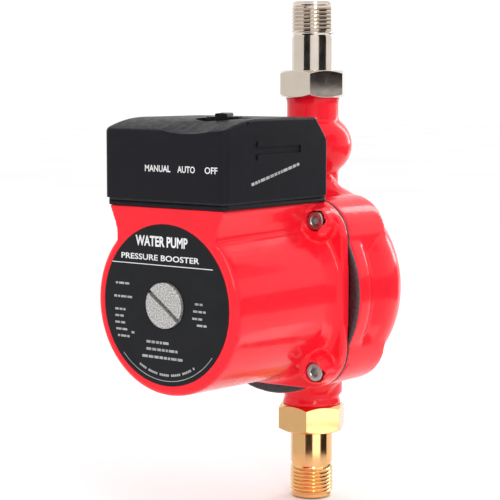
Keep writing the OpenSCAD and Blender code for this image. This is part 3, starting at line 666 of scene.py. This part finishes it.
def along_circle(mark, radius, turn):
    """Moves a mark out to a circle round the plate's middle and lays it along that circle."""
    out = Matrix.Translation((radius * math.cos(turn), radius * math.sin(turn), 0))
    mark.transform(out @ Matrix.Rotation(turn + math.pi / 2, 4, "Z"))
    return mark


plate_face = facing_front(0, front_y - 0.002, axis_z)
bright = [words("WATER PUMP", -2, 28.0, 30, 4.7, 0.03), words("PRESSURE BOOSTER", -3, 20.8, 45, 2.6, 0.016),
          dash(-31, 27, 17.6, 0.35)]
printed("nameplate_title", bright, plate_face, "label", white_ink)
faint = []
for row, (x0, x1, y) in enumerate([(-29, -21, 8.2), (-30, -18.5, 2.2), (-29.5, -23, -3.6),
                                   (-29.5, -23.5, -6.6),
                                   (-29.5, -23, -9.6), (-29, -22, -12.6), (-28, -21, -15.6),
                                   (-19.8, -17, -13.6),
                                   (17, 22.5, 2.0), (16, 23, -1.2), (15.5, 21, -4.4), (18, 23.5, -7.2)]):
    faint += small_print(x0, x1, y, 0.95, row)
for row, (x0, x1, y) in enumerate([(-11, 3, -16.8), (-11, 7, -20), (-13.5, 10.5, -23.4)]):
    faint += small_print(x0, x1, y, 1.15, row + 3)
for i in range(30):
    if i % 6 != 4:
        mark = block(0.85, 1.0, INK, (0, 0, INK / 2))
        faint.append(along_circle(mark, ARC_PRINT_R, math.radians(242 + i * 2.05)))
printed("nameplate_small_print", faint, plate_face, "label", grey_ink)
rim_line = []
for i in range(60):
    step = block(1.0, 0.3, INK, (0, 0, INK / 2))
    rim_line.append(along_circle(step, RIM_LINE_R, math.radians(224 + i * 1.65)))
printed("nameplate_rim_line", rim_line, plate_face, "label", grey_ink)

# %% [markdown]
# ## Vent plug
# The plug in the middle of the nameplate is unscrewed to let air out or to free the shaft. Its head is a
# short disc with a broken edge and a straight slot across it, cut right through the rim. It and its
# O-ring move out as it turns.

# %% Vent plug
plug_low, plug_high = box_mm("vent_plug")
PLUG_R, PLUG_HEAD, PLUG_SHANK = (plug_high.x - plug_low.x) / 2 - 0.4, 3.5, 8.33
plug_length = plug_high.y - plug_low.y
plug = to_object(soften(turned([(0, 0), (PLUG_R, 0), (PLUG_R, -PLUG_HEAD), (PLUG_SHANK, -PLUG_HEAD),
                                (PLUG_SHANK, -plug_length), (0, -plug_length)], 96, hollow=False), 0.45, 3),
                 "plug")
carve(plug, to_object(block(2 * PLUG_R + 4, 2.0, 5.2, (0, 0, 0)), "slot"))
bm = reopen(plug)
place = facing_front(0, plug_low.y, axis_z) @ Matrix.Rotation(math.radians(-36), 4, "Z")
fit(to_object(bm, "vent_plug_head", place), "vent_plug", "plug_steel", ["vent_plug"])

# %% [markdown]
# ## Terminal box lid
# The lid is one moulding: flat sides with rounded upright corners, a top that curves down to the front and
# a slope at the back. Its side view is drawn once, extruded across, and its edges are softened in order of
# size. Then the knob's well, the scoop before it, the screw holes and the gland's hole are cut. A flow
# arrow is sunk in the right side, and the parting line to the base runs round its foot.

# %% Lid block
lid_low, lid_high = lid_low - Vector((0.5, 0.8, 0)), lid_high + Vector((0.5, 0, 0.5))
lid_w, lid_l, lid_h = lid_high.x - lid_low.x, lid_high.y - lid_low.y, lid_high.z - lid_low.z
crown_drop, crown_run = 5.0, 26.0
crown_r = crown_run ** 2 / (2 * crown_drop) + crown_drop / 2


def lid_side(inset):
    """The lid's side view as (y, z) from its front foot."""
    top, back = lid_h - inset, lid_l - inset
    sweep = math.asin((crown_run - inset) / crown_r)
    front_curve = [(crown_run - crown_r * math.sin(sweep * (1 - i / 14)),
                    top - crown_r * (1 - math.cos(sweep * (1 - i / 14))))
                   for i in range(15)]
    foot = 0 if inset == 0 else -1
    return [(inset, foot), *front_curve, (back - 10 + inset * 0.4, top), (back, top - 11.3 + inset * 0.4),
            (back, foot)]


def lid_solid(inset):
    bm = drawn_out(lid_side(inset), lid_w - 2 * inset)
    bm.transform(Matrix.Translation((lid_low.x + inset, lid_low.y, lid_low.z)) @
                 Matrix(((0, 0, 1, 0), (1, 0, 0, 0), (0, 1, 0, 0), (0, 0, 0, 1))))
    bmesh.ops.recalc_face_normals(bm, faces=bm.faces)
    return bm


def upright(e):
    a, b = (v.co for v in e.verts)
    return abs(a.x - b.x) < 1e-3 and abs(a.y - b.y) < 1e-3


def round_edges(bm, width, segments, chosen):
    bmesh.ops.bevel(bm, geom=[e for e in bm.edges if chosen(e)], offset=width, offset_type="OFFSET",
                    segments=segments,
                    profile=0.5, affect="EDGES", clamp_overlap=False, material=-1)


def lid_block(inset, corner):
    """What the side view and the rounded plan have in common."""
    middle = ((lid_low.x + lid_high.x) / 2, (lid_low.y + lid_high.y) / 2, (lid_low.z + lid_high.z) / 2)
    plan = block(lid_w - 2 * inset, lid_l - 2 * inset, lid_h + 20, middle)
    round_edges(plan, corner, 6, upright)
    return carve(to_object(plan, "lid"), to_object(lid_solid(inset), "side"), "INTERSECT")


shell = reopen(lid_block(0, 3.0))
round_edges(shell, 1.3, 4, lambda e: len(e.link_faces) == 2 and e.calc_face_angle(0) > math.radians(35)
            and min(v.co.z for v in e.verts) > lid_low.z + 1)
lid = to_object(shell, "lid")
carve(lid, lid_block(2.2, 1.2))

# %% Cuts in the lid
knob_low = box_mm("selector_knob")[0]
knob_x, knob_y = 13.0, lid_low.y + 26.8
crown_z = lid_high.z
well = soften(turned([(0, -5), (12.5, -5), (12.5, 0.6), (13.4, 1.5), (13.4, 12), (0, 12)], 96,
                     hollow=False), 0.5, 2)


def cut(bm, x, y, z, turn=None):
    place = Matrix.Translation((x, y, z)) @ (turn or Matrix.Identity(4))
    carve(lid, to_object(bm, "cutter", place))


collar = round_bar(14.5, 6)
collar.transform(Matrix.Translation((knob_x, knob_y, crown_z - 7)))
carve(lid, to_object(collar, "collar"), "UNION")
cut(well, knob_x, knob_y, crown_z)
cut(round_bar(4.6, 12), knob_x, knob_y, crown_z - 10)
SCOOP_R, SCOOP_DEPTH, SCOOP_SLOPE = 86.0, 1.3, 20
scoop = round_bar(SCOOP_R, 60, 360)
scoop.transform(Matrix.Rotation(math.radians(SCOOP_SLOPE), 4, "X") @ Matrix.Translation((0, -20, SCOOP_R))
                @ Matrix.Rotation(math.radians(-90), 4, "X"))
cut(scoop, knob_x, lid_low.y, crown_z - crown_drop - SCOOP_DEPTH)
for x in (-23.5, 23.5):
    post = round_bar(4.4, 33, 48)
    post.transform(Matrix.Translation((x, lid_high.y - 14, lid_low.z + 0.2)))
    carve(lid, to_object(post, "post"), "UNION")
    cut(round_bar(1.7, 60, 32), x, lid_high.y - 14, lid_low.z - 5)
    cut(round_bar(3.4, 10, 48), x, lid_high.y - 14, crown_z - 5)
gland_low, gland_high = box_mm("cable_gland_body")
gland_y, gland_z = (gland_low.y + gland_high.y) / 2, (gland_low.z + gland_high.z) / 2
cut(round_bar(8.1, 6), lid_low.x - 1, gland_y, gland_z, Matrix.Rotation(math.radians(90), 4, "Y"))
nose_low, nose_high = box_mm("reed_sensor")
nose_z = (nose_low.z + nose_high.z) / 2
cut(round_bar(4.3, 8), 0, lid_high.y + 1, nose_z, Matrix.Rotation(math.radians(90), 4, "X"))

# %% Flow arrow
arrow_outline = [(-95, 68), (-88.5, 72.5), (-88.5, 69.6), (-57, 69.6), (-57, 66.4), (-88.5, 66.4),
                 (-88.5, 63.5)]
arrow = drawn_out([(y, z) for y, z in arrow_outline], 1.2)
carve(lid, to_object(arrow, "cutter", facing_right(lid_high.x - 0.6, 0, axis_z)))
fit(to_object(reopen(lid), "terminal_box_lid_moulded"), "pump", "box_plastic", ["terminal_box_lid"])

# %% Base with a broken lower edge
base = bmesh.new()
base.from_mesh(frame["nodes"]["terminal_box_base"].data)
base.transform(Matrix.Scale(1000, 4))
bmesh.ops.remove_doubles(base, verts=base.verts, dist=1e-3)
base_low, base_high = box_mm("terminal_box_base")


def outer_foot(e):
    low = all(v.co.z < base_low.z + 0.01 for v in e.verts)
    return low and any(min(v.co.x - base_low.x, base_high.x - v.co.x, v.co.y - base_low.y,
                           base_high.y - v.co.y) < 1.2
                       for v in e.verts) and len(e.link_faces) == 2 and e.calc_face_angle(0) > 0.6


round_edges(base, 0.5, 2, outer_foot)
fit(to_object(base, "terminal_box_base_moulded"), "pump", "box_plastic", ["terminal_box_base"])

# %% [markdown]
# ## Legends of the selector
# Three white words on the front say what each place of the knob does, and a slanted line of small print
# runs up the right side.

# %% Legends
front_face = facing_front(0, lid_low.y + 0.005, axis_z)
legends = [words("MANUAL", -2.8, 60.2, 14.6, 2.9, 0.016), words("AUTO", 13.4, 60.2, 9.8, 2.9, 0.016),
           words("OFF", 27.2, 60.2, 7.0, 2.9, 0.016)]
printed("selector_legends", legends, front_face, "box_plastic", white_ink)
side_marks = []
side_marks += small_print(0, 37, 0, 1.3, 2)
slanted = facing_right(lid_high.x - 0.005, -93, axis_z + 53.5) @ Matrix.Rotation(math.atan2(8.2, 37), 4, "Z")
printed("side_small_print", side_marks, slanted, "box_plastic", grey_ink)

# %% [markdown]
# ## Selector knob
# A short black knob with a finger bar across it and flutes round its edge. It stands in the well, at OFF.

# %% Knob
knob = to_object(soften(round_bar(8, 5.9, 96), 0.5, 3), "knob")
bar = soften(block(19.2, 5.6, 7.4, (0, 0, 3.7)), 0.7, 3)
flutes = bmesh.new()
for i in range(16):
    flute = round_bar(0.9, 9, 16)
    turn = math.tau * (i + 0.5) / 16
    flute.transform(Matrix.Translation((8.5 * math.cos(turn), 8.5 * math.sin(turn), -1)))
    spare = bpy.data.meshes.new("spare")
    flute.to_mesh(spare)
    flute.free()
    flutes.from_mesh(spare)
    bpy.data.meshes.remove(spare)
carve(knob, to_object(flutes, "flutes"))
carve(knob, to_object(bar, "bar"), "UNION")
carve(knob, to_object(block(8, 0.9, 1.2, (6.5, 0, 7.4)), "pointer"))
carve(knob, to_object(round_bar(3.02, 3.5), "socket"))
bm = reopen(knob)
place = Matrix.Translation((knob_x, knob_y, knob_low.z)) @ Matrix.Rotation(math.radians(-60), 4, "Z")
fit(to_object(bm, "selector_knob_moulded", place), "selector", "knob_plastic", ["selector_knob"])

# %% [markdown]
# ## Cable gland
# The cord enters through a gland on the box's left side: a threaded body with a hexagon, a dome nut with
# grip flats and a rubber grommet that closes on the cord. It is empty here, because no cord is fitted.

# %% Gland
def on_gland():
    return Matrix.Translation((lid_low.x, gland_y, gland_z)) @ Matrix.Rotation(math.radians(-90), 4, "Y")


def hexagon_with_bore(name, flat_corner, low, high, bore, rings):
    part = to_object(soften(round_bar(flat_corner, high - low, 6), 0.5, 2), name)
    part.data.transform(Matrix.Translation((0, 0, low * MM)))
    for ring in rings:
        carve(part, to_object(turned(ring, 72, hollow=False), "ring"), "UNION")
    hole = round_bar(bore, 60)
    hole.transform(Matrix.Translation((0, 0, -20)))
    carve(part, to_object(hole, "hole"))
    return reopen(part)


body = hexagon_with_bore("gland", 11.5, 0.05, 5.05, 5.5,
                         [[(0, -8), (7.6, -8), (8, -7.5), (8, 0.2), (0, 0.2)],
                          [(0, 4.8), (7.4, 4.8), (7.4, 11), (0, 11)]])
fit(to_object(body, "gland_body", on_gland()), "pump", "box_plastic", ["cable_gland_body"])
dome = hexagon_with_bore("gland", 11, 5.15, 12.15, 4.6,
                         [[(0, 12), (9.4, 12), (9.2, 13), (8.4, 14.6), (7, 16), (0, 16)]])
dome_piece = to_object(dome, "gland_nut")
carve(dome_piece, to_object(turned([(0, 5), (7.5, 5), (7.5, 13), (0, 13)], 72, hollow=False), "room"))
fit(to_object(reopen(dome_piece), "gland_nut_moulded", on_gland()), "pump", "box_plastic",
    ["cable_gland_nut"])

# %% [markdown]
# ## Sensor nose
# Behind the box a short black nose holds a reed switch against the flow chamber. A collar seats it on the
# box's back.

# %% Sensor nose
nose_length = nose_high.y - nose_low.y
nose = turned([(0, 0), (4.2, 0), (4.2, 6.05), (6.2, 6.05), (6.2, 9), (4.2, 9), (4.2, nose_length - 0.6),
               (3.4, nose_length), (0, nose_length)], 64, hollow=False)
soften(nose, 0.3)
place = Matrix.Translation((0, nose_low.y, nose_z)) @ Matrix.Rotation(math.radians(-90), 4, "X")
fit(to_object(nose, "sensor_nose", place), "pump", "box_plastic", ["reed_sensor"])

# %% [markdown]
# ## Floor, light and camera
# A pale floor and a white room give the even light of a product shot. Two soft panels draw the long
# highlights on the enamel. Turned metal needs dark things to reflect, so small curved cards stand round
# both unions. Only reflections can see them.

# %% Floor and room
floor_mesh = bmesh.new()
bmesh.ops.create_grid(floor_mesh, x_segments=1, y_segments=1, size=6)
floor = to_object(floor_mesh, "floor", Matrix.Translation((0, 0, -0.0006)), unit=1)
floor_finish = Finish("pale_floor", (0.9, 0.9, 0.9), 0.7)
floor_finish.colour(floor_finish.ramp(floor_finish.noise(3, 2),
                                      [(0.3, (0.88, 0.88, 0.88)), (0.7, (0.92, 0.92, 0.92))]))
floor.data.materials.append(floor_finish.mat)
world = bpy.data.worlds.new("studio")
bpy.context.scene.world = world
world.use_nodes = True
world.node_tree.nodes["Background"].inputs["Color"].default_value = (1, 1, 1, 1)
world.node_tree.nodes["Background"].inputs["Strength"].default_value = 1.1
bpy.context.scene.view_settings.view_transform = "Standard"

# %% Camera
camera_data = bpy.data.cameras.new("camera")
camera_data.lens, camera_data.sensor_width = 122.4, 36
camera = bpy.data.objects.new("camera", camera_data)
bpy.context.scene.collection.objects.link(camera)
camera.location = (0.4829, -0.6725, 0.2062)
look = Vector((-0.60954, 0.78620, -0.10171))
camera.rotation_euler = look.to_track_quat("-Z", "Y").to_euler()
camera_data.clip_start, camera_data.clip_end = 0.01, 50
bpy.context.scene.camera = camera


# %% Lights
def panel(name, at, towards, size, power, colour=(1, 1, 1)):
    data = bpy.data.lights.new(name, "AREA")
    data.shape, data.size, data.size_y, data.energy, data.color = "RECTANGLE", size[0], size[1], power, colour
    lamp = bpy.data.objects.new(name, data)
    lamp.location = at
    lamp.rotation_euler = (Vector(towards) - Vector(at)).to_track_quat("-Z", "Y").to_euler()
    bpy.context.scene.collection.objects.link(lamp)
    return lamp


middle = (0, -0.04, 0.12)
panel("key", (0.75, -0.65, 0.75), middle, (0.16, 0.8), 4)
panel("side", (0.15, 1.15, 0.6), middle, (0.25, 0.9), 4)


def reflector(name, from_deg, to_deg, z0, z1, glow, radius=0.13):
    """A curved card round the pipe that only reflections can see: black, or glowing white."""
    bm = bmesh.new()
    start = [bm.verts.new((radius, 0, z)) for z in (z0, z1)]
    turn = Matrix.Rotation(math.radians(from_deg), 4, "Z")
    bmesh.ops.spin(bm, geom=start + [bm.edges.new(start)], cent=(0, 0, 0), axis=(0, 0, 1),
                   angle=math.radians(to_deg - from_deg), steps=12)
    card = to_object(bm, name, turn, unit=1)
    finish = Finish(name + "_finish", (0.005, 0.005, 0.005), 0.9)
    if glow:
        finish.set("Emission Color", (1, 0.99, 0.97, 1))
        finish.set("Emission Strength", glow)
    card.data.materials.append(finish.mat)
    card.visible_camera = card.visible_shadow = card.visible_diffuse = False


reflector("card_low_left", -87, -50, 0.0, 0.021, 0, 0.09)
reflector("card_low_middle", -46, -9, 0.0, 0.021, 2.5, 0.09)
reflector("card_low_right", -5, 35, 0.0, 0.021, 0, 0.09)
reflector("card_low_nut", -30, 14, 0.023, 0.056, 2.5, 0.09)
reflector("card_high_nut", -34, 20, 0.17, 0.197, 0.34)
reflector("card_high_left", -104, -68, 0.199, 0.26, 0)
reflector("card_high_right", -24, 20, 0.199, 0.26, 0)
reflector("card_right", 2, 80, 0.0, 0.15, 0.15, 0.5)
reflector("card_low_far", -178, -90, 0.0, 0.056, 0.78, 0.09)
reflector("card_high_far", -178, -107, 0.18, 0.26, 0.9)

# %% Count the pieces made
print("pieces made:", len(made_pieces))
